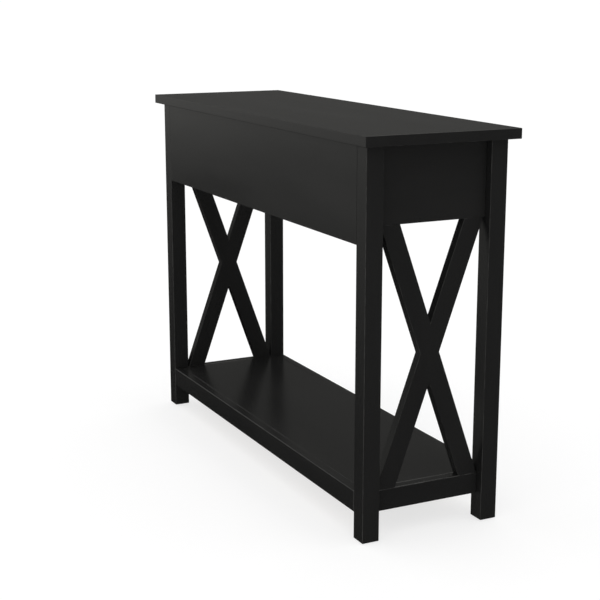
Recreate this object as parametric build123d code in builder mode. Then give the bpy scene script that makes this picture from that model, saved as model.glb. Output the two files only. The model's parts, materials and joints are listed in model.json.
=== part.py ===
from build123d import *
import math
import os

os.makedirs("parts", exist_ok=True)

# Lift-top console table. Origin on the floor under the middle of the table.
# +X runs along the table to its right end, +Y from the front to the back, +Z up.
# All sizes are in millimetres and degrees.

# ------------------------------------------------------------------ driving dimensions
table_height = 735
top_length = 1000
top_depth = 314
top_thickness = 19
frame_length = 958
frame_depth = 286
leg_side = 34
board = 18
edge_ease = 1.5
glide_height = 1.5
lid_gap = 1.5

front_apron_bottom = 542
low_apron_bottom = 575
shelf_rail_bottom = 51
shelf_level = 92
shelf_thickness = 15
well_floor_bottom = 583
well_floor_thickness = 9
groove_depth = 4.5

brace_width = 37
brace_middle_height = 336
brace_slope = 70.3

cleat_side = 18
cleat_length = 800

play = 0.05
screw_radius = 2
screw_head_radius = 4
screw_head_height = 2.2
dowel_radius = 4
dowel_length = 30
cam_radius = 7.5
cam_depth = 12.5
cam_setback = 24
cam_bolt_radius = 3
cam_bolt_thread_radius = 2.5
cam_bolt_thread_length = 11

# Lift hinge: the pivots as (y, z), then the arms' angles above the +Y direction.
front_pivot = (-98, 666)
pivot_spacing = 58
arm_length = 153
closed_angle = 12
lift_angle = 88
lever_length = 26
plate_thickness = 2.5
arm_thickness = 3
washer_thickness = 1
pivot_radius = 4
rivet_head_radius = 6
rivet_head_height = 2.2
cross_tube_radius = 9
cross_tube_wall = 1.5
spring_radius = 7
spring_wire_radius = 0.85
spring_wall = 2
spring_to_arm = 3
spring_post_y = 40

# ------------------------------------------------------------------ derived dimensions
case_top = table_height - top_thickness - lid_gap
lid_underside = table_height - top_thickness
leg_outer_x = frame_length / 2
leg_outer_y = frame_depth / 2
inner_x = leg_outer_x - leg_side
inner_y = leg_outer_y - board
leg_inner_y = leg_outer_y - leg_side
end_board_middle_x = inner_x + board / 2
long_board_middle_y = inner_y + board / 2
shelf_bottom = shelf_level - shelf_thickness
cleat_bottom = shelf_bottom - cleat_side
SIDES = (-1, 1)
END_NAMES = {-1: "left", 1: "right"}
LONG_NAMES = {-1: "front", 1: "back"}


def finish(builder, name):
    """Label a finished piece and write it as its own STEP file."""
    builder.part.label = name
    export_step(builder.part, f"parts/{name}.step")


def facing(point, direction):
    """A plane at a point on a face, with its normal along a direction."""
    return Plane(origin=point, z_dir=direction)


def rod(point, direction, radius, length, mode=Mode.ADD):
    """A round rod, or a bore with Mode.SUBTRACT, that starts at a point and runs along a direction."""
    with Locations(facing(point, direction)):
        Cylinder(radius, length, align=(Align.CENTER, Align.CENTER, Align.MIN), mode=mode)


def slab_between(low, high, mode=Mode.ADD):
    """A rectangular block between its lowest and its highest corner."""
    with Locations(tuple((a + b) / 2 for a, b in zip(low, high))):
        Box(*[b - a for a, b in zip(low, high)], mode=mode)


# ------------------------------------------------------------------ joinery positions
apron_dowel_heights = (612, 690)
rail_dowel_height = (shelf_rail_bottom + shelf_level) / 2
cam_heights = {
    "apron_front": (562, 690),
    "apron_back": (612, 690),
    "rail_front": (64,),
    "rail_back": (64,),
}
cam_height_of_side = {
    -1: cam_heights["apron_front"] + cam_heights["rail_front"],
    1: cam_heights["apron_back"] + cam_heights["rail_back"],
}
cleat_screw_xs = (-350, -120, 120, 350)
shelf_screw_xs = (-290, -60, 60, 290)
cleat_screw_height = cleat_bottom + cleat_side / 2
cleat_middle_y = inner_y - cleat_side / 2
cleat_screw_bite = 12
shelf_screw_bite = 10
bore_bottom_gap = 0.5


def cut_dowel_bores(x, y, heights, direction_y):
    """Bores for dowels that lie along Y, into a face at y."""
    for height in heights:
        rod(
            (x, y, height),
            (0, direction_y, 0),
            dowel_radius + play,
            dowel_length / 2 + bore_bottom_gap,
            Mode.SUBTRACT,
        )


# ------------------------------------------------------------------ legs
foot_chamfer = 1
glide_radius = 12.5
glide_nail_radius = 1.25
glide_nail_length = 14
leg_middle_x = leg_outer_x - leg_side / 2
leg_middle_y = leg_outer_y - leg_side / 2

for side_x in SIDES:
    for side_y in SIDES:
        with BuildPart() as leg:
            with BuildSketch(Plane.XY.offset(glide_height)):
                with Locations((side_x * leg_middle_x, side_y * leg_middle_y)):
                    RectangleRounded(leg_side, leg_side, edge_ease)
            extrude(amount=case_top - glide_height)
            chamfer(leg.faces().sort_by(Axis.Z)[0].edges(), foot_chamfer)
            cut_dowel_bores(
                side_x * end_board_middle_x,
                side_y * leg_inner_y,
                (*apron_dowel_heights, rail_dowel_height),
                side_y,
            )
            for height in cam_height_of_side[side_y]:
                rod(
                    (side_x * inner_x, side_y * long_board_middle_y, height),
                    (side_x, 0, 0),
                    cam_bolt_thread_radius + play,
                    cam_bolt_thread_length + bore_bottom_gap,
                    Mode.SUBTRACT,
                )
            rod(
                (side_x * leg_middle_x, side_y * leg_middle_y, glide_height),
                (0, 0, 1),
                glide_nail_radius + play,
                glide_nail_length + bore_bottom_gap,
                Mode.SUBTRACT,
            )
        finish(leg, f"leg_{LONG_NAMES[side_y]}_{END_NAMES[side_x]}")

# ------------------------------------------------------------------ long aprons and rails
end_board_outer_x = inner_x + board


def long_board(name, side_y, bottom, top, cam_levels, grooved):
    """A board between the two legs of a long side, with its cam fittings' bores."""
    face_y = side_y * inner_y
    low_y, high_y = sorted((face_y, side_y * leg_outer_y))
    with BuildPart() as piece:
        slab_between((-inner_x, low_y, bottom), (inner_x, high_y, top))
        outer_face = piece.faces().sort_by(Axis.Y)[0 if side_y < 0 else -1]
        fillet(outer_face.edges().group_by(Axis.Z)[0], edge_ease)
        for side_x in SIDES:
            for height in cam_levels:
                rod(
                    (side_x * (inner_x - cam_setback), face_y, height),
                    (0, side_y, 0),
                    cam_radius + play,
                    cam_depth,
                    Mode.SUBTRACT,
                )
                rod(
                    (side_x * inner_x, side_y * long_board_middle_y, height),
                    (-side_x, 0, 0),
                    cam_bolt_radius + play,
                    cam_setback,
                    Mode.SUBTRACT,
                )
        if grooved:
            groove_y = sorted((face_y, face_y + side_y * groove_depth))
            slab_between(
                (-inner_x, groove_y[0], well_floor_bottom),
                (inner_x, groove_y[1], well_floor_bottom + well_floor_thickness),
                Mode.SUBTRACT,
            )
        else:
            for x in cleat_screw_xs:
                rod(
                    (x, face_y, cleat_screw_height),
                    (0, side_y, 0),
                    screw_radius + play,
                    cleat_screw_bite + bore_bottom_gap,
                    Mode.SUBTRACT,
                )
    finish(piece, name)


long_board("apron_front", -1, front_apron_bottom, case_top, cam_heights["apron_front"], True)
long_board("apron_back", 1, low_apron_bottom, case_top, cam_heights["apron_back"], True)
long_board("rail_front", -1, shelf_rail_bottom, shelf_level, cam_heights["rail_front"], False)
long_board("rail_back", 1, shelf_rail_bottom, shelf_level, cam_heights["rail_back"], False)

# ------------------------------------------------------------------ X braces and their bars
brace_foot_y = (brace_middle_height - shelf_level) / math.tan(math.radians(brace_slope))
brace_head_y = (low_apron_bottom - brace_middle_height) / math.tan(math.radians(brace_slope))
brace_run = 700
opening_height = low_apron_bottom - shelf_level


def brace_outline(x, tilt):
    """Profile of one bar on the YZ plane at x, cut off level at the rail and the apron."""
    with BuildSketch(Plane.YZ.offset(x)) as outline:
        with Locations((0, brace_middle_height)):
            Rectangle(brace_run, brace_width, rotation=tilt * brace_slope)
        with Locations((0, (low_apron_bottom + shelf_level) / 2)):
            Rectangle(2 * leg_inner_y, opening_height, mode=Mode.INTERSECT)
    return outline.sketch


brace_names = {1: "rising", -1: "falling"}


def brace_dowel_ys(tilt):
    """Where a bar's dowels stand: at the middle of its foot and of its head."""
    return {shelf_level: -tilt * brace_foot_y, low_apron_bottom: tilt * brace_head_y}


for side_x in SIDES:
    low_x = min(side_x * inner_x, side_x * end_board_outer_x)
    for tilt in SIDES:
        with BuildPart() as bar:
            extrude(brace_outline(low_x, tilt), amount=board)
            lap_x = low_x if tilt < 0 else low_x + board / 2
            extrude(brace_outline(lap_x, -tilt), amount=board / 2, mode=Mode.SUBTRACT)
            for height, y in brace_dowel_ys(tilt).items():
                inward = 1 if height == shelf_level else -1
                rod(
                    (side_x * end_board_middle_x, y, height),
                    (0, 0, inward),
                    dowel_radius + play,
                    dowel_length / 2 + bore_bottom_gap,
                    Mode.SUBTRACT,
                )
        finish(bar, f"brace_{END_NAMES[side_x]}_{brace_names[tilt]}")

# ------------------------------------------------------------------ lift hinge positions
base_plate_x = inner_x - plate_thickness
rear_arm_x = base_plate_x - washer_thickness - arm_thickness
angle_x = rear_arm_x - washer_thickness - plate_thickness
front_arm_x = angle_x - washer_thickness - arm_thickness
spring_x = front_arm_x - spring_to_arm - spring_radius


def from_pivot(pivot, angle, distance):
    """The (y, z) point at a distance from a pivot, at an angle above +Y."""
    turn = math.radians(angle)
    return (pivot[0] + distance * math.cos(turn), pivot[1] + distance * math.sin(turn))


rear_pivot = (front_pivot[0] + pivot_spacing, front_pivot[1])
front_upper = from_pivot(front_pivot, closed_angle, arm_length)
rear_upper = from_pivot(rear_pivot, closed_angle, arm_length)
straight_down = 270
lever_angle = straight_down - lift_angle / 2
lever_end = from_pivot(front_pivot, lever_angle, lever_length)
spring_post = (spring_post_y, lever_end[1])
stop_distance = 30
arm_half_width = 9
stop_pin_radius = 3
stop_clearance = 0.2
stop_lead = math.degrees(
    math.asin((arm_half_width + stop_pin_radius + stop_clearance) / stop_distance)
)
stop_pin = from_pivot(rear_pivot, closed_angle + lift_angle + stop_lead, stop_distance)
base_screw_points = ((-84, 642), (-34, 642), (16, 642), (-84, 689))
base_screw_bite = 12
angle_screw_ys = (-56, -8, 40, 104)
angle_screw_bite = 13
angle_flange = 26
angle_screw_inset = 12
angle_screw_x = angle_x - angle_screw_inset

# ------------------------------------------------------------------ end aprons and end rails
for side_x in SIDES:
    low_x = min(side_x * inner_x, side_x * end_board_outer_x)
    with BuildPart() as apron:
        slab_between(
            (low_x, -leg_inner_y, low_apron_bottom),
            (low_x + board, leg_inner_y, case_top),
        )
        outer_face = apron.faces().sort_by(Axis.X)[0 if side_x < 0 else -1]
        fillet(outer_face.edges().group_by(Axis.Z)[0], edge_ease)
        groove_x = sorted((side_x * inner_x, side_x * (inner_x + groove_depth)))
        slab_between(
            (groove_x[0], -leg_inner_y, well_floor_bottom),
            (groove_x[1], leg_inner_y, well_floor_bottom + well_floor_thickness),
            Mode.SUBTRACT,
        )
        for side_y in SIDES:
            cut_dowel_bores(
                side_x * end_board_middle_x, side_y * leg_inner_y, apron_dowel_heights, -side_y
            )
        for tilt in SIDES:
            rod(
                (side_x * end_board_middle_x, tilt * brace_head_y, low_apron_bottom),
                (0, 0, 1),
                dowel_radius + play,
                dowel_length / 2 + bore_bottom_gap,
                Mode.SUBTRACT,
            )
        for y, z in base_screw_points:
            rod(
                (side_x * inner_x, y, z),
                (side_x, 0, 0),
                screw_radius + play,
                base_screw_bite + bore_bottom_gap,
                Mode.SUBTRACT,
            )
    finish(apron, f"apron_{END_NAMES[side_x]}")

    with BuildPart() as rail:
        slab_between(
            (low_x, -leg_inner_y, shelf_rail_bottom),
            (low_x + board, leg_inner_y, shelf_level),
        )
        outer_face = rail.faces().sort_by(Axis.X)[0 if side_x < 0 else -1]
        fillet(outer_face.edges().group_by(Axis.Z)[0], edge_ease)
        for side_y in SIDES:
            cut_dowel_bores(
                side_x * end_board_middle_x, side_y * leg_inner_y, (rail_dowel_height,), -side_y
            )
        for tilt in SIDES:
            rod(
                (side_x * end_board_middle_x, tilt * brace_foot_y, shelf_level),
                (0, 0, -1),
                dowel_radius + play,
                dowel_length / 2 + bore_bottom_gap,
                Mode.SUBTRACT,
            )
    finish(rail, f"rail_{END_NAMES[side_x]}")

# ------------------------------------------------------------------ well floor and shelf
with BuildPart() as well_floor:
    with BuildSketch(Plane.XY.offset(well_floor_bottom)):
        Rectangle(2 * inner_x, 2 * (inner_y + groove_depth))
        Rectangle(2 * (inner_x + groove_depth), 2 * leg_inner_y)
    extrude(amount=well_floor_thickness)
finish(well_floor, "well_floor")

with BuildPart() as shelf:
    with BuildSketch(Plane.XY.offset(shelf_bottom)):
        Rectangle(2 * inner_x, 2 * inner_y)
    extrude(amount=shelf_thickness)
    for side_y in SIDES:
        for x in shelf_screw_xs:
            rod(
                (x, side_y * cleat_middle_y, shelf_bottom),
                (0, 0, 1),
                screw_radius + play,
                shelf_screw_bite + bore_bottom_gap,
                Mode.SUBTRACT,
            )
finish(shelf, "shelf")

for side_y in SIDES:
    with BuildPart() as cleat:
        low_y = min(side_y * inner_y, side_y * (inner_y - cleat_side))
        slab_between(
            (-cleat_length / 2, low_y, cleat_bottom),
            (cleat_length / 2, low_y + cleat_side, shelf_bottom),
        )
        for x in cleat_screw_xs:
            rod(
                (x, side_y * (inner_y - cleat_side), cleat_screw_height),
                (0, side_y, 0),
                screw_radius + play,
                cleat_side,
                Mode.SUBTRACT,
            )
        for x in shelf_screw_xs:
            rod(
                (x, side_y * cleat_middle_y, cleat_bottom),
                (0, 0, 1),
                screw_radius + play,
                cleat_side,
                Mode.SUBTRACT,
            )
    finish(cleat, f"shelf_cleat_{LONG_NAMES[side_y]}")

# ------------------------------------------------------------------ table top
with BuildPart() as table_top:
    with BuildSketch(Plane.XY.offset(lid_underside)):
        RectangleRounded(top_length, top_depth, edge_ease)
    extrude(amount=top_thickness)
    fillet(table_top.faces().sort_by(Axis.Z)[-1].edges(), edge_ease)
    for side_x in SIDES:
        for y in angle_screw_ys:
            rod(
                (side_x * angle_screw_x, y, lid_underside),
                (0, 0, 1),
                screw_radius + play,
                angle_screw_bite + bore_bottom_gap,
                Mode.SUBTRACT,
            )
finish(table_top, "table_top")

# ------------------------------------------------------------------ joinery hardware
dowel_chamfer = 0.8

with BuildPart() as dowels:
    for side_x in SIDES:
        for side_y in SIDES:
            for height in (*apron_dowel_heights, rail_dowel_height):
                start_y = side_y * leg_inner_y - dowel_length / 2
                rod(
                    (side_x * end_board_middle_x, start_y, height),
                    (0, 1, 0),
                    dowel_radius,
                    dowel_length,
                )
        for tilt in SIDES:
            for height, y in brace_dowel_ys(tilt).items():
                start_z = height - dowel_length / 2
                rod(
                    (side_x * end_board_middle_x, y, start_z),
                    (0, 0, 1),
                    dowel_radius,
                    dowel_length,
                )
    chamfer(dowels.edges().filter_by(GeomType.CIRCLE), dowel_chamfer)
finish(dowels, "dowels")

cam_slot_past_centre = 3
cam_recess_width = 1.6
cam_recess_depth = 2
cam_recess_length = 9


def cam_places():
    """Every cam fitting as (x side, y side, height)."""
    return [
        (side_x, side_y, height)
        for side_x in SIDES
        for side_y in SIDES
        for height in cam_height_of_side[side_y]
    ]


with BuildPart() as cam_nuts:
    for side_x, side_y, height in cam_places():
        cam_x = side_x * (inner_x - cam_setback)
        rod((cam_x, side_y * inner_y, height), (0, side_y, 0), cam_radius, cam_depth - play)
    for side_x, side_y, height in cam_places():
        cam_x = side_x * (inner_x - cam_setback)
        rod(
            (cam_x - side_x * cam_slot_past_centre, side_y * long_board_middle_y, height),
            (side_x, 0, 0),
            cam_bolt_radius + play,
            cam_radius + cam_slot_past_centre,
            Mode.SUBTRACT,
        )
        for size in (
            (cam_recess_length, cam_recess_depth, cam_recess_width),
            (cam_recess_width, cam_recess_depth, cam_recess_length),
        ):
            with Locations((cam_x, side_y * (inner_y + cam_recess_depth / 2), height)):
                Box(*size, mode=Mode.SUBTRACT)
finish(cam_nuts, "cam_nuts")

with BuildPart() as cam_bolts:
    for side_x, side_y, height in cam_places():
        joint = (side_x * inner_x, side_y * long_board_middle_y, height)
        rod(joint, (side_x, 0, 0), cam_bolt_thread_radius, cam_bolt_thread_length)
        rod(joint, (-side_x, 0, 0), cam_bolt_radius, cam_setback - play)
finish(cam_bolts, "cam_bolts")

recess_width = 1
recess_length = 4.6
recess_depth = 1.3
head_round = 0.9


def pan_screw(tip_direction, seat, bite):
    """A pan-head wood screw whose head sits on a seat point, with its tip along a direction."""
    away = tuple(-c for c in tip_direction)
    with BuildPart(facing(seat, away), mode=Mode.PRIVATE) as screw:
        Cylinder(
            screw_head_radius,
            screw_head_height,
            align=(Align.CENTER, Align.CENTER, Align.MIN),
        )
        fillet(screw.faces().sort_by(Axis(seat, away))[-1].edges(), head_round)
        Cylinder(screw_radius, bite, align=(Align.CENTER, Align.CENTER, Align.MAX))
        with Locations((0, 0, screw_head_height - recess_depth / 2)):
            Box(recess_length, recess_width, recess_depth, mode=Mode.SUBTRACT)
            Box(recess_width, recess_length, recess_depth, mode=Mode.SUBTRACT)
    return screw.part


def screw_group(name, screws):
    """One node that holds identical screws as separate solids."""
    with BuildPart() as group:
        for screw in screws:
            add(screw)
    finish(group, name)


screw_group(
    "cleat_screws",
    [
        pan_screw(
            (0, side_y, 0),
            (x, side_y * (inner_y - cleat_side), cleat_screw_height),
            cleat_side + cleat_screw_bite,
        )
        for side_y in SIDES
        for x in cleat_screw_xs
    ],
)
screw_group(
    "shelf_screws",
    [
        pan_screw(
            (0, 0, 1),
            (x, side_y * cleat_middle_y, cleat_bottom),
            cleat_side + shelf_screw_bite,
        )
        for side_y in SIDES
        for x in shelf_screw_xs
    ],
)
screw_group(
    "base_plate_screws",
    [
        pan_screw((side_x, 0, 0), (side_x * base_plate_x, y, z), plate_thickness + base_screw_bite)
        for side_x in SIDES
        for y, z in base_screw_points
    ],
)
screw_group(
    "top_angle_screws",
    [
        pan_screw(
            (0, 0, 1),
            (side_x * angle_screw_x, y, lid_underside - plate_thickness),
            plate_thickness + angle_screw_bite,
        )
        for side_x in SIDES
        for y in angle_screw_ys
    ],
)

with BuildPart() as foot_glides:
    for side_x in SIDES:
        for side_y in SIDES:
            foot = (side_x * leg_middle_x, side_y * leg_middle_y)
            rod((*foot, 0), (0, 0, 1), glide_radius, glide_height)
            rod((*foot, glide_height), (0, 0, 1), glide_nail_radius, glide_nail_length)
finish(foot_glides, "foot_glides")

bumper_radius = 4.5
bumper_round = 0.4
bumper_points = [
    (x, side_y * long_board_middle_y)
    for x in (-leg_middle_x, 0, leg_middle_x)
    for side_y in SIDES
]

with BuildPart() as lid_bumpers:
    for point in bumper_points:
        rod((*point, case_top), (0, 0, 1), bumper_radius, lid_gap)
    fillet(lid_bumpers.faces().group_by(Axis.Z)[-1].edges(), bumper_round)
finish(lid_bumpers, "lid_bumpers")

# ------------------------------------------------------------------ lift hinge
link_radius = {"foot": 10, "head": 9, "lever": 6.5}
rivet_hole = pivot_radius + play


def link_outline(x, bosses):
    """Outline on the YZ plane at x, drawn tight around each neighbouring pair of round bosses."""
    with BuildSketch(Plane.YZ.offset(x)) as outline:
        for neighbours in zip(bosses, bosses[1:]):
            make_hull([Edge.make_circle(r, Plane((y, z, 0))) for (y, z), r in neighbours])
    return outline.sketch


def bore_at(x, point, radius, depth):
    """A bore along +X from a plane at x, at a (y, z) point."""
    rod((x, *point), (1, 0, 0), radius, depth, Mode.SUBTRACT)


def pair(builder, stem):
    """Write the right-hand piece, then its mirror image for the left end."""
    finish(builder, f"{stem}_right")
    with BuildPart() as left:
        add(mirror(builder.part, about=Plane.YZ))
    finish(left, f"{stem}_left")


def both_ends(builder, name):
    """Write one node with the right-hand solids and their mirror images."""
    with BuildPart() as group:
        add(builder.part)
        add(mirror(builder.part, about=Plane.YZ))
    finish(group, name)


plate_low = (-122, 634)
plate_high = (52, 684)
plate_nose_high = (-70, 697)
plate_corner = 6
stop_boss = 8
stud_radius = 2.5
stud_head_radius = 4
stud_head_height = 1.5
stud_past_spring = 5
post_radius = 3


def plate_outline(low, high):
    """A rectangle with rounded corners between its lowest and its highest corner."""
    with Locations(((low[0] + high[0]) / 2, (low[1] + high[1]) / 2)):
        RectangleRounded(high[0] - low[0], high[1] - low[1], plate_corner)


with BuildPart() as base_plate:
    with BuildSketch(Plane.YZ.offset(base_plate_x)):
        plate_outline(plate_low, plate_high)
        plate_outline(plate_low, plate_nose_high)
        with Locations(stop_pin):
            Circle(stop_boss)
    extrude(amount=plate_thickness)
    for point in (front_pivot, rear_pivot):
        bore_at(base_plate_x, point, rivet_hole, plate_thickness)
    for point in base_screw_points:
        bore_at(base_plate_x, point, screw_radius + play, plate_thickness)
    bore_at(base_plate_x, spring_post, post_radius + play, plate_thickness)
    bore_at(base_plate_x, stop_pin, stop_pin_radius + play, plate_thickness)
pair(base_plate, "base_plate")

lift_arm_bosses = (
    (lever_end, link_radius["lever"]),
    (front_pivot, link_radius["foot"]),
    (front_upper, link_radius["head"]),
)
with BuildPart() as lift_arm:
    extrude(link_outline(front_arm_x, lift_arm_bosses), amount=arm_thickness)
    bore_at(front_arm_x, front_pivot, rivet_hole, arm_thickness)
    bore_at(front_arm_x, front_upper, rivet_hole, arm_thickness)
    bore_at(front_arm_x, lever_end, stud_radius + play, arm_thickness)
pair(lift_arm, "lift_arm")

rear_arm_bosses = (
    (rear_pivot, link_radius["head"]),
    (rear_upper, link_radius["head"]),
)
with BuildPart() as rear_arm:
    extrude(link_outline(rear_arm_x, rear_arm_bosses), amount=arm_thickness)
    bore_at(rear_arm_x, rear_pivot, rivet_hole, arm_thickness)
    bore_at(rear_arm_x, rear_upper, rivet_hole, arm_thickness)
pair(rear_arm, "rear_arm")

angle_front_y = -70
angle_back_y = 120
angle_lip = 14
angle_boss = 10
angle_taper = 20

with BuildPart() as top_angle:
    slab_between(
        (angle_x + plate_thickness - angle_flange, angle_front_y, lid_underside - plate_thickness),
        (angle_x + plate_thickness, angle_back_y, lid_underside),
    )
    with BuildSketch(Plane.YZ.offset(angle_x)):
        with BuildLine():
            Polyline(
                (angle_front_y, lid_underside),
                (angle_front_y, lid_underside - angle_lip),
                (front_upper[0] - angle_boss - angle_taper, lid_underside - angle_lip),
                (front_upper[0] - angle_boss, front_upper[1] - angle_boss),
                (angle_back_y, rear_upper[1] - angle_boss),
                (angle_back_y, lid_underside),
                close=True,
            )
        make_face()
    extrude(amount=plate_thickness)
    for point in (front_upper, rear_upper):
        bore_at(angle_x, point, rivet_hole, plate_thickness)
    for y in angle_screw_ys:
        rod(
            (angle_screw_x, y, lid_underside - plate_thickness),
            (0, 0, 1),
            screw_radius + play,
            plate_thickness,
            Mode.SUBTRACT,
        )
pair(top_angle, "top_angle")

with BuildPart() as cross_tube:
    with BuildSketch(Plane.YZ.offset(-front_arm_x)):
        with Locations(front_pivot):
            Circle(cross_tube_radius)
            Circle(cross_tube_radius - cross_tube_wall, mode=Mode.SUBTRACT)
    extrude(amount=2 * front_arm_x)
finish(cross_tube, "cross_tube")


def ring(x, point, outer, inner, length):
    """A washer or spacer along +X from a plane at x."""
    rod((x, *point), (1, 0, 0), outer, length)
    rod((x, *point), (1, 0, 0), inner, length, Mode.SUBTRACT)


washer_radius = 7

with BuildPart() as front_spacer:
    spacer_x = front_arm_x + arm_thickness
    ring(spacer_x, front_pivot, washer_radius, rivet_hole, base_plate_x - spacer_x)
both_ends(front_spacer, "pivot_spacers")

with BuildPart() as lower_washer:
    ring(base_plate_x - washer_thickness, rear_pivot, washer_radius, rivet_hole, washer_thickness)
both_ends(lower_washer, "lower_washers")

with BuildPart() as upper_washer:
    ring(angle_x - washer_thickness, front_upper, washer_radius, rivet_hole, washer_thickness)
    ring(angle_x + plate_thickness, rear_upper, washer_radius, rivet_hole, washer_thickness)
both_ends(upper_washer, "upper_washers")


def rivet(head_x, point, end_x):
    """A rivet along X with its head at the lower x, seated on a plane at head_x."""
    rod((head_x, *point), (1, 0, 0), pivot_radius, end_x - head_x)
    rod((head_x, *point), (-1, 0, 0), rivet_head_radius, rivet_head_height)


peened_radius = 6
peened_height = 1.2

with BuildPart() as lower_rivet:
    rivet(front_arm_x, front_pivot, inner_x)
    rivet(rear_arm_x, rear_pivot, inner_x)
both_ends(lower_rivet, "lower_rivets")

with BuildPart() as upper_rivet:
    rivet(front_arm_x, front_upper, angle_x + plate_thickness)
    rivet(angle_x, rear_upper, rear_arm_x + arm_thickness)
    rod(
        (rear_arm_x + arm_thickness, *rear_upper),
        (1, 0, 0),
        peened_radius,
        peened_height,
    )
both_ends(upper_rivet, "upper_rivets")

stud_tip_x = spring_x - stud_past_spring


def headed_stud(tip_x, point, radius, end_x):
    """A stud along X with a retaining head at its tip."""
    rod((tip_x, *point), (1, 0, 0), radius, end_x - tip_x)
    rod((tip_x, *point), (-1, 0, 0), stud_head_radius, stud_head_height)


with BuildPart() as lever_stud:
    headed_stud(stud_tip_x, lever_end, stud_radius, front_arm_x + arm_thickness)
both_ends(lever_stud, "lever_studs")

with BuildPart() as spring_post_stud:
    headed_stud(stud_tip_x, spring_post, post_radius, inner_x)
both_ends(spring_post_stud, "spring_posts")

with BuildPart() as stop_stud:
    rod((rear_arm_x - play, *stop_pin), (1, 0, 0), stop_pin_radius, inner_x - rear_arm_x)
both_ends(stop_stud, "stop_pins")

hook_gap = 0.4
hook_leg = 4
hook_overlap = 1
coil_mean_radius = spring_radius - spring_wall / 2
hook_reach = coil_mean_radius - spring_wire_radius - hook_gap
hook_ys = {-1: lever_end[0] + hook_reach - stud_radius, 1: spring_post[0] - hook_reach + post_radius}
coil_start_y = hook_ys[-1] + hook_leg
coil_end_y = hook_ys[1] - hook_leg
spring_height = spring_post[1]

with BuildPart() as spring:
    with BuildSketch(Plane.XZ.offset(-coil_end_y)):
        with Locations((spring_x, spring_height)):
            Circle(spring_radius)
            Circle(spring_radius - spring_wall, mode=Mode.SUBTRACT)
    extrude(amount=coil_end_y - coil_start_y)
    for side_y, hook_y in hook_ys.items():
        leg_height = spring_height - side_y * coil_mean_radius
        with BuildSketch(Plane.XZ.offset(-hook_y)):
            with Locations((spring_x, leg_height)):
                Circle(spring_wire_radius)
        revolve(axis=Axis((spring_x, hook_y, spring_height), (1, 0, 0)), revolution_arc=180)
        rod(
            (spring_x, hook_y, leg_height),
            (0, -side_y, 0),
            spring_wire_radius,
            hook_leg + hook_overlap,
        )
pair(spring, "spring")
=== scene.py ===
import json
import math

import bmesh
import bpy
from mathutils import Matrix, Vector


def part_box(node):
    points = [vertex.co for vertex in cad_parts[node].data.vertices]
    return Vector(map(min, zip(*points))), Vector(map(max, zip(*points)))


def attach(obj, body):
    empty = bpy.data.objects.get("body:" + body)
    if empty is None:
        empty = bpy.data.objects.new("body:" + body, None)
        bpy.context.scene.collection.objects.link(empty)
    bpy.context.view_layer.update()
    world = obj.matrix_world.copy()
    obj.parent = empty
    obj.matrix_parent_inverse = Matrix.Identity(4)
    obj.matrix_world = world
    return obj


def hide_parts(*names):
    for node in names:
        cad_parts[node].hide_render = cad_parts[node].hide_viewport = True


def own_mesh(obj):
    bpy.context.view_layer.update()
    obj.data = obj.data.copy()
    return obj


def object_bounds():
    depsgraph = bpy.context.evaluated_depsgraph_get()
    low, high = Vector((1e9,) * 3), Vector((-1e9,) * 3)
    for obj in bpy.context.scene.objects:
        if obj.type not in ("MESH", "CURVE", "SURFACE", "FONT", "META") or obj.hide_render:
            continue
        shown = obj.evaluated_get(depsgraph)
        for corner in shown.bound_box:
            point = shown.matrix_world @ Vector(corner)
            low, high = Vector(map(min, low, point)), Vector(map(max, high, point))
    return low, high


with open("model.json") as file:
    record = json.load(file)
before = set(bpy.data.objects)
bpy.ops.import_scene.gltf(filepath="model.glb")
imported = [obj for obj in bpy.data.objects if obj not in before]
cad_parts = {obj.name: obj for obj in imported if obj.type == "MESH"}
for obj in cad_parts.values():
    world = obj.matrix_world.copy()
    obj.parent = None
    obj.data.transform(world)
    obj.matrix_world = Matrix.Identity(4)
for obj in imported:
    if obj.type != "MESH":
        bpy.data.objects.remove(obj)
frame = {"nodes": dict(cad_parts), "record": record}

# The lift-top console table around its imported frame. Metres, +Z up, front towards -Y.

CAD_LOW, CAD_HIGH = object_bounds()
CENTRE = (CAD_LOW + CAD_HIGH) / 2
BODIES = frame["record"]["behaviour"]["bodies"]
MM = 0.001
ALONG_X, ALONG_Y, ALONG_Z = (1, 0, 0), (0, 1, 0), (0, 0, 1)

# ------------------------------------------------------------------ shading helpers


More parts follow.
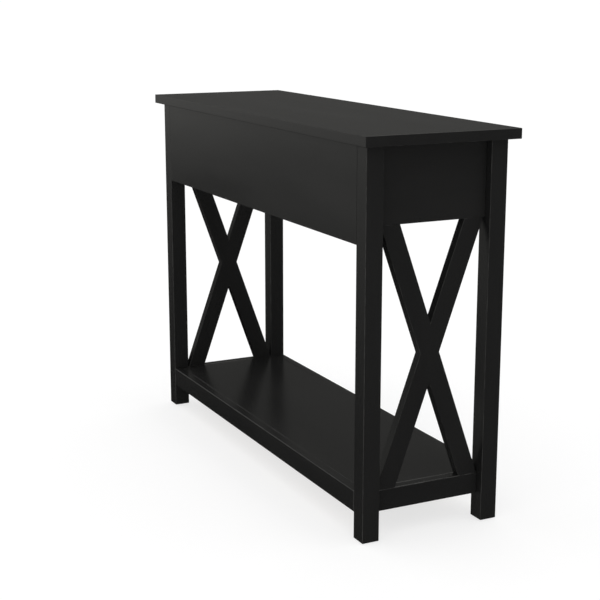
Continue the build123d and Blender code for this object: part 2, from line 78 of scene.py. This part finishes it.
class Shader:
    """A node material with one Principled surface, and short calls for the nodes that feed it.

    Textures read object coordinates, in metres, so a scale of 1000 is a detail of a millimetre.
    """

    def __init__(self, name, **sockets):
        self.material = bpy.data.materials.new(name)
        self.material.use_nodes = True
        self.tree = self.material.node_tree
        self.surface = self.tree.nodes["Principled BSDF"]
        for socket, value in sockets.items():
            self.surface.inputs[socket.replace("_", " ")].default_value = value
        self.place = self.tree.nodes.new("ShaderNodeTexCoord").outputs["Object"]

    def node(self, kind, links=(), **settings):
        """A new node with its settings, and each input linked to a socket or set to a value."""
        made = self.tree.nodes.new(kind)
        for name, value in settings.items():
            setattr(made, name, value)
        for socket, value in dict(links).items():
            if isinstance(value, bpy.types.NodeSocket):
                self.tree.links.new(value, made.inputs[socket])
            else:
                made.inputs[socket].default_value = value
        return made

    def along(self, direction, stretch):
        """Coordinates whose first axis runs along a direction, scaled (along, across, across)."""
        turn = Vector(direction).to_track_quat("X", "Z").inverted().to_euler()
        turned = self.node("ShaderNodeMapping", {"Vector": self.place, "Rotation": turn})
        return self.node(
            "ShaderNodeMapping", {"Vector": turned.outputs["Vector"], "Scale": stretch}
        ).outputs["Vector"]

    def noise(self, vector, scale, detail=3.0, distortion=0.0):
        """A noise value, most of it between 0.3 and 0.7."""
        return self.node(
            "ShaderNodeTexNoise",
            {"Vector": vector, "Scale": scale, "Detail": detail, "Distortion": distortion},
        ).outputs["Fac"]

    def spread(self, value, low, high, start=0.3, end=0.7):
        """A texture value mapped from its usual start and end to low and high."""
        return self.node(
            "ShaderNodeMapRange",
            {"Value": value, "From Min": start, "From Max": end, "To Min": low, "To Max": high},
        ).outputs["Result"]

    def mix(self, factor, first, second):
        """A colour between two colours, which the node takes at its inputs 6 and 7."""
        made = self.node("ShaderNodeMix", data_type="RGBA")
        for index, value in ((0, factor), (6, first), (7, second)):
            if isinstance(value, bpy.types.NodeSocket):
                self.tree.links.new(value, made.inputs[index])
            else:
                made.inputs[index].default_value = value
        return made.outputs[2]

    def bump(self, height, distance, below=None):
        """A normal raised by a height texture, on top of another bump where one is given."""
        links = {"Height": height, "Distance": distance, "Strength": 1.0}
        if below is not None:
            links["Normal"] = below
        return self.node("ShaderNodeBump", links).outputs["Normal"]

    def feed(self, **sockets):
        """Link values to the surface's sockets and hand over the finished material."""
        for socket, value in sockets.items():
            self.tree.links.new(value, self.surface.inputs[socket.replace("_", " ")])
        return self.material


def grey(value):
    return (value, value, value, 1.0)


# ------------------------------------------------------------------ materials

ARRIS = "arris"
PAINT_DEEP = (0.0096, 0.0096, 0.0095, 1.0)
PAINT_THIN = (0.0124, 0.0123, 0.012, 1.0)
# Lighter paint for eased edges: partly paint thinned by wear, partly a painted highlight.
PAINT_ARRIS_WEAR_AND_HIGHLIGHT = (0.024, 0.0236, 0.0228, 1.0)
PAINT_ROUGHNESS = (0.2, 0.26)
BOARD_CLOUDS = (2.0, 9.0, 9.0)
BOARD_FIGURE = (2.0, 160.0, 160.0)
BOARD_PORES = (14.0, 900.0, 900.0)
ORANGE_PEEL = 420.0
# Size of the patches where eased edges get lighter paint, partly wear and partly a painted
# highlight.
WEAR_AND_HIGHLIGHT_PATCHES = 60.0
PEEL_HEIGHT = 0.01 * MM
FIGURE_HEIGHT = 0.01 * MM
PORE_HEIGHT = 0.005 * MM


def painted_wood(name, direction):
    """Satin black paint over wood: faint grain along the board, orange peel, and arrises painted
    lighter, partly as wear and partly as a painted highlight.
    """
    s = Shader(name, Specular_IOR_Level=0.5, IOR=1.5)
    clouds = s.noise(s.along(direction, BOARD_CLOUDS), 1.0, detail=3.0)
    figure = s.noise(s.along(direction, BOARD_FIGURE), 1.0, detail=3.0)
    pores = s.noise(s.along(direction, BOARD_PORES), 1.0, detail=2.0)
    peel = s.noise(s.place, ORANGE_PEEL, detail=1.5)
    film = s.mix(s.spread(clouds, 0.0, 1.0), PAINT_DEEP, PAINT_THIN)
    # Eased edges are painted lighter in patches: partly wear, partly a painted highlight on the
    # rounded edges.
    arris = s.node("ShaderNodeAttribute", attribute_name=ARRIS).outputs["Fac"]
    wear_and_highlight = s.spread(s.noise(s.place, WEAR_AND_HIGHLIGHT_PATCHES, detail=4.0), 0.0, 1.0, 0.42, 0.62)
    worn_and_highlit = s.node("ShaderNodeMath", {0: arris, 1: wear_and_highlight}, operation="MULTIPLY").outputs[0]
    colour = s.mix(worn_and_highlit, film, PAINT_ARRIS_WEAR_AND_HIGHLIGHT)
    relief = s.bump(peel, PEEL_HEIGHT)
    relief = s.bump(figure, FIGURE_HEIGHT, relief)
    relief = s.bump(pores, PORE_HEIGHT, relief)
    return s.feed(
        Base_Color=colour,
        Roughness=s.spread(clouds, *PAINT_ROUGHNESS),
        Normal=relief,
    )


FLAT_BLACKS = (grey(0.026), grey(0.036))


def coated_steel(name):
    """Fine-textured black powder coat."""
    s = Shader(name, Specular_IOR_Level=0.5)
    patch = s.noise(s.place, 30.0)
    grain = s.noise(s.place, 1500.0, detail=2.0)
    return s.feed(
        Base_Color=s.mix(s.spread(patch, 0.0, 1.0), *FLAT_BLACKS),
        Roughness=s.spread(patch, 0.38, 0.5),
        Normal=s.bump(grain, 0.008 * MM),
    )


def panel_paint(name):
    """Thin matt black paint rolled on a board, with the roller's stipple in it."""
    s = Shader(name, Specular_IOR_Level=0.4)
    patch = s.noise(s.place, 9.0, detail=4.0)
    stipple = s.noise(s.place, 600.0, detail=2.0)
    return s.feed(
        Base_Color=s.mix(s.spread(patch, 0.0, 1.0), *FLAT_BLACKS),
        Roughness=s.spread(patch, 0.5, 0.6),
        Normal=s.bump(stipple, 0.02 * MM),
    )


# Below 1, because the room that glossy surfaces mirror is dim and full metal would look too dark.
METAL_SHARE = 0.6
METAL_MARKS = (40.0, 900.0, 900.0)


def metal(name, light, dark, rough_low, rough_high):
    """Bare or plated metal with fine marks along X and patches of tarnish."""
    s = Shader(name, Metallic=METAL_SHARE)
    patch = s.noise(s.place, 45.0, detail=4.0)
    marks = s.noise(s.along(ALONG_X, METAL_MARKS), 1.0, detail=3.0)
    return s.feed(
        Base_Color=s.mix(s.spread(patch, 0.0, 1.0), light, dark),
        Roughness=s.spread(marks, rough_low, rough_high),
        Normal=s.bump(marks, 0.006 * MM),
    )


GROWTH_BANDS = (2.2, 70.0, 70.0)
RAW_PORES = (30.0, 1400.0, 1400.0)


def raw_wood(name, direction, early, late):
    """Planed bare wood with growth bands and pores along its length."""
    s = Shader(name)
    bands = s.noise(s.along(direction, GROWTH_BANDS), 1.0, detail=3.0, distortion=1.2)
    pores = s.noise(s.along(direction, RAW_PORES), 1.0, detail=2.0)
    tone = s.mix(s.spread(bands, 0.0, 1.0, 0.35, 0.65), early, late)
    darker = s.mix(s.spread(pores, 0.0, 0.35, 0.5, 0.75), tone, late)
    return s.feed(
        Base_Color=darker,
        Roughness=s.spread(bands, 0.55, 0.7),
        Normal=s.bump(pores, 0.03 * MM),
    )


def moulded(name, colour, rough, grain):
    """Moulded plastic or rubber with a fine even texture."""
    s = Shader(name)
    patch = s.noise(s.place, 220.0)
    return s.feed(
        Base_Color=s.mix(s.spread(patch, 0.0, 1.0), grey(colour), grey(1.5 * colour)),
        Roughness=s.spread(patch, rough - 0.05, rough + 0.05),
        Normal=s.bump(s.noise(s.place, grain), 0.01 * MM),
    )


PAINT = {
    axis: painted_wood(f"paint_along_{label}", axis)
    for axis, label in ((ALONG_X, "x"), (ALONG_Y, "y"), (ALONG_Z, "z"))
}
PANEL_BLACK = panel_paint("well_floor_panel")
BLACK_STEEL = coated_steel("black_steel")
ZINC = metal("zinc_steel", (0.66, 0.66, 0.64, 1), (0.5, 0.5, 0.47, 1), 0.25, 0.42)
SPRING_STEEL = metal("spring_steel", (0.5, 0.5, 0.49, 1), (0.3, 0.29, 0.28, 1), 0.22, 0.38)
CAM_ALLOY = metal("cam_alloy", grey(0.56), grey(0.42), 0.38, 0.55)
PINE = raw_wood("raw_pine", ALONG_X, (0.60, 0.43, 0.25, 1), (0.42, 0.26, 0.13, 1))
BEECH = raw_wood("raw_beech", ALONG_Y, (0.62, 0.45, 0.30, 1), (0.5, 0.33, 0.2, 1))
NYLON = moulded("glide_nylon", 0.018, 0.45, 700.0)
SILICONE = moulded("bumper_silicone", 0.05, 0.6, 400.0)

# ------------------------------------------------------------------ mesh helpers

LEG_EASE = 1.2 * MM
TOP_EASE = 0.9 * MM
APRON_EASE = 0.8 * MM
SHELF_EASE = 2.0 * MM
APRON_SEAM = 0.8 * MM
EASE_SEGMENTS = 4
EASED_ABOVE = math.radians(20)
BORE_SEGMENTS = 48
WELD_DISTANCE = 0.01 * MM


def smooth_shading(piece):
    """Round the eased edges in shading, and keep the flat faces flat."""
    for polygon in piece.data.polygons:
        polygon.use_smooth = True
    even = piece.modifiers.new("even_normals", "WEIGHTED_NORMAL")
    even.weight = 100
    even.keep_sharp = True


def link(name, mesh, material):
    """A new object in the scene that shows a mesh in one material."""
    mesh.materials.append(material)
    piece = bpy.data.objects.new(name, mesh)
    bpy.context.scene.collection.objects.link(piece)
    return piece


def mark_arrises(work, flat_faces):
    """Give the vertices of eased edges the value 1 in the attribute that makes the paint lighter
    there, partly as wear and partly as a painted highlight.
    """
    layer = work.verts.layers.float.new(ARRIS)
    for vertex in work.verts:
        beside_flat = any(face in flat_faces for face in vertex.link_faces)
        vertex[layer] = 0.0 if beside_flat else 1.0


def eased(work, width, keep_square=(), worn_and_highlit=True):
    """Ease the sharp edges of a closed mesh, apart from those that a test keeps square.

    Worn edges are marked, so that the paint is lighter on them: partly paint thinned by wear,
    partly a painted highlight.
    """
    sharp = [
        edge
        for edge in work.edges
        if edge.calc_face_angle(0.0) > EASED_ABOVE
        and not any(test(edge) for test in keep_square)
    ]
    made = bmesh.ops.bevel(
        work,
        geom=sharp,
        offset=width,
        offset_type="OFFSET",
        segments=EASE_SEGMENTS,
        profile=0.5,
        affect="EDGES",
        clamp_overlap=True,
    )
    eased_faces = set(made["faces"])
    if worn_and_highlit:
        mark_arrises(work, {face for face in work.faces if face not in eased_faces})


def from_bmesh(name, work, material):
    """A piece made of a finished bmesh, which is freed."""
    bmesh.ops.recalc_face_normals(work, faces=work.faces)
    mesh = bpy.data.meshes.new(name)
    work.to_mesh(mesh)
    work.free()
    piece = link(name, mesh, material)
    smooth_shading(piece)
    return piece


def board(name, low, high, ease, material, worn_and_highlit=True):
    """A board between two corners with eased edges."""
    work = bmesh.new()
    bmesh.ops.create_cube(work, size=1.0)
    size = Vector(high) - Vector(low)
    middle = (Vector(high) + Vector(low)) / 2
    bmesh.ops.scale(work, vec=size, verts=work.verts)
    bmesh.ops.translate(work, vec=middle, verts=work.verts)
    eased(work, ease, worn_and_highlit=worn_and_highlit)
    return from_bmesh(name, work, material)


def stand_in(node, ease, direction, seam=0.0):
    """A board piece in the place of a rectangular CAD node, short of its neighbours by a seam."""
    low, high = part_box(node)
    gap = Vector(direction) * seam
    piece = board(f"{node}_piece", low + gap, high - gap, ease, PAINT[direction], worn_and_highlit=not seam)
    return placed(piece, node)


def placed(piece, *nodes):
    """Let a piece ride on its nodes' body and stand for them."""
    body = next(b for b, members in BODIES.items() if nodes[0] in members)
    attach(piece, body)
    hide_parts(*nodes)
    return piece


def islands(node):
    """(lowest corner, highest corner) of each separate solid of a CAD node."""
    work = bmesh.new()
    work.from_mesh(frame["nodes"][node].data)
    bmesh.ops.remove_doubles(work, verts=work.verts, dist=WELD_DISTANCE)
    left, boxes = set(work.verts), []
    while left:
        reached = [left.pop()]
        for vertex in reached:
            for edge in vertex.link_edges:
                other = edge.other_vert(vertex)
                if other in left:
                    left.discard(other)
                    reached.append(other)
        boxes.append(
            (
                Vector(min(v.co[k] for v in reached) for k in range(3)),
                Vector(max(v.co[k] for v in reached) for k in range(3)),
            )
        )
    work.free()
    return boxes


def bore(piece, centres, direction, radius, depth):
    """Cut round bores into a piece, each centred on a point and running along a direction."""
    work = bmesh.new()
    turn = Vector((0, 0, 1)).rotation_difference(Vector(direction)).to_matrix().to_4x4()
    for centre in centres:
        bmesh.ops.create_cone(
            work,
            cap_ends=True,
            segments=BORE_SEGMENTS,
            radius1=radius,
            radius2=radius,
            depth=2 * depth,
            matrix=Matrix.Translation(centre) @ turn,
        )
    mesh = bpy.data.meshes.new("cutter")
    work.to_mesh(mesh)
    work.free()
    cutter = bpy.data.objects.new("cutter", mesh)
    bpy.context.scene.collection.objects.link(cutter)
    cut = piece.modifiers.new("bores", "BOOLEAN")
    cut.operation = "DIFFERENCE"
    cut.object = cutter
    cut.solver = "EXACT"
    while piece.modifiers[0].name != "bores":
        piece.modifiers.move(piece.modifiers.find("bores"), 0)
    with bpy.context.temp_override(object=piece, active_object=piece):
        bpy.ops.object.modifier_apply(modifier="bores")
    bpy.data.objects.remove(cutter)


# ------------------------------------------------------------------ wooden pieces

stand_in("table_top", TOP_EASE, ALONG_X)
for depth_name in ("front", "back"):
    for end_name in ("left", "right"):
        stand_in(f"leg_{depth_name}_{end_name}", LEG_EASE, ALONG_Z)
for end_name in ("left", "right"):
    stand_in(f"apron_{end_name}", APRON_EASE, ALONG_Y)
    stand_in(f"rail_{end_name}", SHELF_EASE, ALONG_Y)
stand_in("shelf", SHELF_EASE, ALONG_X)

CAM_CLEARANCE = 0.05 * MM
cams = islands("cam_nuts")
for stem, ease, seam in (("apron", APRON_EASE, APRON_SEAM), ("rail", SHELF_EASE, 0.0)):
    for depth_name, facing in (("front", 1), ("back", -1)):
        node = f"{stem}_{depth_name}"
        low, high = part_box(node)
        piece = stand_in(node, ease, ALONG_X, seam)
        face_y = high.y if facing > 0 else low.y
        for cam_low, cam_high in cams:
            centre = (cam_low + cam_high) / 2
            if not (low.y < centre.y < high.y and low.z < centre.z < high.z):
                continue
            mouth = Vector((centre.x, face_y, centre.z))
            radius = (cam_high.x - cam_low.x) / 2 + CAM_CLEARANCE
            bore(piece, [mouth], ALONG_Y, radius, cam_high.y - cam_low.y + CAM_CLEARANCE)

# The X at each end: both cross-lapped bars sanded flush and painted as one surface.
BRACE_WIDTH = 37 * MM
BRACE_SLOPE = math.radians(70.3)
BRACE_CROSSING = 336 * MM


def brace_outline(foot_z, head_z):
    """The X's outline as (y, z) points: across one bar's foot, then round by the four notches."""
    half = BRACE_WIDTH / 2 / math.sin(BRACE_SLOPE)
    notch = BRACE_WIDTH / 2 / math.cos(BRACE_SLOPE)
    foot = (BRACE_CROSSING - foot_z) / math.tan(BRACE_SLOPE)
    head = (head_z - BRACE_CROSSING) / math.tan(BRACE_SLOPE)
    right_side = [
        (0, BRACE_CROSSING - notch),
        (foot - half, foot_z),
        (foot + half, foot_z),
        (half, BRACE_CROSSING),
        (head + half, head_z),
        (head - half, head_z),
    ]
    top_notch = [(0, BRACE_CROSSING + notch)]
    mirrored = [(-y, z) for y, z in reversed(right_side[1:])]
    return right_side + top_notch + mirrored


def across(edge):
    """True for the edges across the bars' thickness, such as the notches' inner corners."""
    a, b = (vertex.co for vertex in edge.verts)
    return abs(a.x - b.x) > MM


for end_name in ("left", "right"):
    nodes = [f"brace_{end_name}_{tilt}" for tilt in ("rising", "falling")]
    low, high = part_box(nodes[0])
    work = bmesh.new()
    outline = brace_outline(low.z, high.z)
    face = work.faces.new([work.verts.new((low.x, y, z)) for y, z in outline])
    swept = bmesh.ops.extrude_face_region(work, geom=[face])
    moved = [v for v in swept["geom"] if isinstance(v, bmesh.types.BMVert)]
    bmesh.ops.translate(work, vec=(high.x - low.x, 0, 0), verts=moved)
    bmesh.ops.recalc_face_normals(work, faces=work.faces)
    eased(work, APRON_EASE, keep_square=(across,))
    placed(from_bmesh(f"brace_{end_name}_piece", work, PAINT[ALONG_Z]), *nodes)

# ------------------------------------------------------------------ nodes that keep their shape

SHEET_EASE = 0.3 * MM
TURNED_EASE = 0.2 * MM
BROKEN_ABOVE = math.radians(40)
BROKEN_SEGMENTS = 2


def dressed(node, material, ease=0.0):
    """A CAD node with a better material and, where an ease is given, broken edges."""
    shown = frame["nodes"][node]
    shown.data.materials.clear()
    shown.data.materials.append(material)
    if ease:
        weld = shown.modifiers.new("weld", "WELD")
        weld.merge_threshold = WELD_DISTANCE
        rounding = shown.modifiers.new("broken_edges", "BEVEL")
        rounding.width = ease
        rounding.segments = BROKEN_SEGMENTS
        rounding.limit_method = "ANGLE"
        rounding.angle_limit = BROKEN_ABOVE
        rounding.use_clamp_overlap = True
        smooth_shading(shown)


for end_name in ("left", "right"):
    for stem in ("base_plate", "lift_arm", "rear_arm", "top_angle"):
        dressed(f"{stem}_{end_name}", BLACK_STEEL, SHEET_EASE)
dressed("cross_tube", BLACK_STEEL, TURNED_EASE)
for node in (
    "base_plate_screws",
    "top_angle_screws",
    "cleat_screws",
    "shelf_screws",
    "cam_bolts",
    "lower_rivets",
    "upper_rivets",
    "lower_washers",
    "upper_washers",
    "pivot_spacers",
    "spring_posts",
    "lever_studs",
    "stop_pins",
):
    dressed(node, ZINC, TURNED_EASE)
dressed("cam_nuts", CAM_ALLOY, TURNED_EASE)
dressed("foot_glides", NYLON, SHEET_EASE)
dressed("lid_bumpers", SILICONE)
dressed("well_floor", PANEL_BLACK)
dressed("shelf_cleat_front", PINE)
dressed("shelf_cleat_back", PINE)
dressed("dowels", BEECH)

# ------------------------------------------------------------------ assist springs

WIRE_RADIUS = 0.85 * MM
COIL_INSET = 1.0 * MM
COIL_TURNS = 60.5
POINTS_PER_TURN = 20
HOOK_POINTS = 16
HOOK_LEG = 4 * MM
WIRE_RESOLUTION = 3


def spring_line(low, high):
    """The wire's centreline between a spring's box corners: hook, coil, hook, along +Y."""
    middle_x = (low.x + high.x) / 2
    middle_z = (low.z + high.z) / 2
    radius = (high.z - low.z) / 2 - COIL_INSET
    front_hook = low.y + radius + WIRE_RADIUS
    back_hook = high.y - radius - WIRE_RADIUS
    start, end = front_hook + HOOK_LEG, back_hook - HOOK_LEG
    line = []
    for step in range(HOOK_POINTS + 1):
        turn = math.pi * step / HOOK_POINTS
        line.append(
            (middle_x, front_hook - radius * math.sin(turn), middle_z - radius * math.cos(turn))
        )
    count = round(COIL_TURNS * POINTS_PER_TURN)
    for step in range(count + 1):
        turn = math.pi / 2 + 2 * math.pi * COIL_TURNS * step / count
        line.append(
            (
                middle_x + radius * math.cos(turn),
                start + (end - start) * step / count,
                middle_z + radius * math.sin(turn),
            )
        )
    for step in range(HOOK_POINTS + 1):
        turn = math.pi * step / HOOK_POINTS
        line.append(
            (middle_x, back_hook + radius * math.sin(turn), middle_z - radius * math.cos(turn))
        )
    return line


def wire(name, line, radius, material):
    """A round wire along a line of points, as a mesh."""
    curve = bpy.data.curves.new(name, "CURVE")
    curve.dimensions = "3D"
    curve.bevel_depth = radius
    curve.bevel_resolution = WIRE_RESOLUTION
    curve.use_fill_caps = True
    spline = curve.splines.new("POLY")
    spline.points.add(len(line) - 1)
    for point, place in zip(spline.points, line):
        point.co = (*place, 1.0)
    holder = bpy.data.objects.new(f"{name}_line", curve)
    bpy.context.scene.collection.objects.link(holder)
    mesh = bpy.data.meshes.new_from_object(holder)
    mesh.materials.clear()
    bpy.data.objects.remove(holder)
    piece = link(name, mesh, material)
    for polygon in piece.data.polygons:
        polygon.use_smooth = True
    return piece


posts = sorted(islands("spring_posts"), key=lambda box: box[0].x)
studs = sorted(islands("lever_studs"), key=lambda box: box[0].x)
for end_name, post, stud in zip(("left", "right"), posts, studs):
    node = f"spring_{end_name}"
    low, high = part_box(node)
    spring = wire(f"{node}_piece", spring_line(low, high), WIRE_RADIUS, SPRING_STEEL)
    piece = placed(spring, node)
    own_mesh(piece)

# ------------------------------------------------------------------ floor, light, camera

FLOOR_RADIUS = 300.0
FLOOR_SHADED = 0.36
FLOOR_GLOW = 0.7
FLOOR_SEGMENTS = 128


def pale_floor():
    """A round floor that partly glows, so that it stays pale and only a faint shadow shows."""
    work = bmesh.new()
    bmesh.ops.create_circle(work, cap_ends=True, segments=FLOOR_SEGMENTS, radius=FLOOR_RADIUS)
    mesh = bpy.data.meshes.new("floor")
    work.to_mesh(mesh)
    work.free()
    pale = Shader(
        "pale_floor",
        Roughness=0.9,
        Specular_IOR_Level=0.0,
        Base_Color=grey(FLOOR_SHADED),
        Emission_Color=grey(1.0),
        Emission_Strength=FLOOR_GLOW,
    )
    floor = link("floor", mesh, pale.material)
    floor.location.z = CAD_LOW.z
    floor.visible_glossy = False


pale_floor()

ROOM_LIGHT = 0.9
BACKGROUND = 1.0
ROOM_TINT = (1.0, 0.995, 0.95, 1.0)
# What glossy surfaces mirror, by direction: (height, level) stops for the whole room, and patches
# of (height, level) and (side, level) stops, whose levels multiply. Height is the direction's Z
# and side is its Y, so a patch at negative sides stands in front of the table.
ROOM_EVEN = (
    (-0.35, 0.0),
    (-0.05, 0.05),
    (0.05, 0.1),
    (0.3, 0.078),
    (0.55, 0.15),
    (0.72, 0.9),
    (0.9, 1.5),
)
ROOM_FRONT = (
    ((-0.12, 0.0), (-0.085, 0.55), (0.1, 0.62), (0.4, 0.4)),
    ((-0.5, 0.86), (-0.35, 0.62), (0.05, 0.0)),
)
ROOM_LOW = (
    ((-0.25, 0.0), (-0.21, 0.07), (-0.17, 0.17), (-0.12, 0.16), (-0.1, 0.0)),
    ((-0.48, 1.0), (-0.45, 0.8), (-0.41, 0.0)),
)
ROOM_PANEL = (
    ((-0.75, 0.2), (-0.45, 0.6), (-0.2, 0.5), (-0.1, 0.2), (0.1, 0.0)),
    ((-0.68, 1.0), (-0.59, 0.0)),
)


def soft_room():
    """Even light for matt surfaces, and a dim soft room for what glossy surfaces mirror."""
    world = bpy.data.worlds.new("soft_room")
    bpy.context.scene.world = world
    world.use_nodes = True
    tree = world.node_tree
    tree.nodes.clear()
    new, join = tree.nodes.new, tree.links.new
    output = new("ShaderNodeOutputWorld")
    path = new("ShaderNodeLightPath")
    place = new("ShaderNodeTexCoord")
    parts = new("ShaderNodeSeparateXYZ")
    join(place.outputs["Generated"], parts.inputs[0])

    def background(strength, tint=grey(1.0)):
        made = new("ShaderNodeBackground")
        made.inputs["Color"].default_value = tint
        if isinstance(strength, bpy.types.NodeSocket):
            join(strength, made.inputs["Strength"])
        else:
            made.inputs["Strength"].default_value = strength
        return made.outputs[0]

    def choose(factor, otherwise, chosen):
        """One shader where a factor is 0 and another where it is 1."""
        made = new("ShaderNodeMixShader")
        join(factor, made.inputs[0])
        join(otherwise, made.inputs[1])
        join(chosen, made.inputs[2])
        return made.outputs[0]

    def ramp(value, stops):
        """A value read off a row of (position, level) stops, with positions from -1 to 1."""
        spread = new("ShaderNodeMapRange")
        join(value, spread.inputs["Value"])
        spread.inputs["From Min"].default_value = -1.0
        made = new("ShaderNodeValToRGB")
        join(spread.outputs["Result"], made.inputs["Fac"])
        elements = made.color_ramp.elements
        while len(elements) < len(stops):
            elements.new(0.5)
        for element, (position, level) in zip(elements, stops):
            element.position = (position + 1) / 2
            element.color = grey(level)
        return made.outputs["Color"]

    def combined(operation, a, b):
        """Two values added or multiplied."""
        made = new("ShaderNodeMath")
        made.operation = operation
        join(a, made.inputs[0])
        join(b, made.inputs[1])
        return made.outputs[0]

    side, height = parts.outputs["Y"], parts.outputs["Z"]
    total = ramp(height, ROOM_EVEN)
    for height_stops, side_stops in (ROOM_FRONT, ROOM_LOW, ROOM_PANEL):
        patch = combined("MULTIPLY", ramp(height, height_stops), ramp(side, side_stops))
        total = combined("ADD", total, patch)
    mirrored = background(total, ROOM_TINT)
    lit = choose(path.outputs["Is Glossy Ray"], background(ROOM_LIGHT), mirrored)
    seen = choose(path.outputs["Is Camera Ray"], lit, background(BACKGROUND))
    join(seen, output.inputs["Surface"])


soft_room()


def softbox(name, place, target, width, height, power):
    """A rectangular lamp that points from its place to a target."""
    data = bpy.data.lights.new(name, "AREA")
    data.shape = "RECTANGLE"
    data.size = width
    data.size_y = height
    data.energy = power
    made = bpy.data.objects.new(name, data)
    bpy.context.scene.collection.objects.link(made)
    made.location = place
    made.rotation_euler = (Vector(target) - Vector(place)).to_track_quat("-Z", "Y").to_euler()
    return made


softbox(
    "overhead_softbox",
    place=(-0.6, -0.8, 2.6),
    target=CENTRE,
    width=1.6,
    height=1.6,
    power=4.0,
)
low_fill = softbox(
    "low_fill",
    place=(1.8, 0.2, 0.2),
    target=(0.47, 0.0, 0.1),
    width=1.2,
    height=0.3,
    power=1.6,
)
low_fill.visible_glossy = False

CAMERA_AZIMUTH = math.radians(63.15)
CAMERA_ELEVATION = math.radians(12.49)
CAMERA_DISTANCE = 2.808
CAMERA_LENS = 80.6
SENSOR_WIDTH = 36.0
AIM_FROM_CENTRE = Vector((-0.007, -0.028, -0.029))


def photographer():
    """The camera: it stands at an angle and a distance from the centre, and aims just beside it."""
    data = bpy.data.cameras.new("camera")
    data.lens = CAMERA_LENS
    data.sensor_width = SENSOR_WIDTH
    camera = bpy.data.objects.new("camera", data)
    bpy.context.scene.collection.objects.link(camera)
    back = Vector(
        (
            math.sin(CAMERA_AZIMUTH) * math.cos(CAMERA_ELEVATION),
            -math.cos(CAMERA_AZIMUTH) * math.cos(CAMERA_ELEVATION),
            math.sin(CAMERA_ELEVATION),
        )
    )
    camera.location = CENTRE + back * CAMERA_DISTANCE
    aim = CENTRE + AIM_FROM_CENTRE
    camera.rotation_euler = (aim - camera.location).to_track_quat("-Z", "Y").to_euler()
    bpy.context.scene.camera = camera


photographer()
bpy.context.scene.view_settings.view_transform = "Standard"
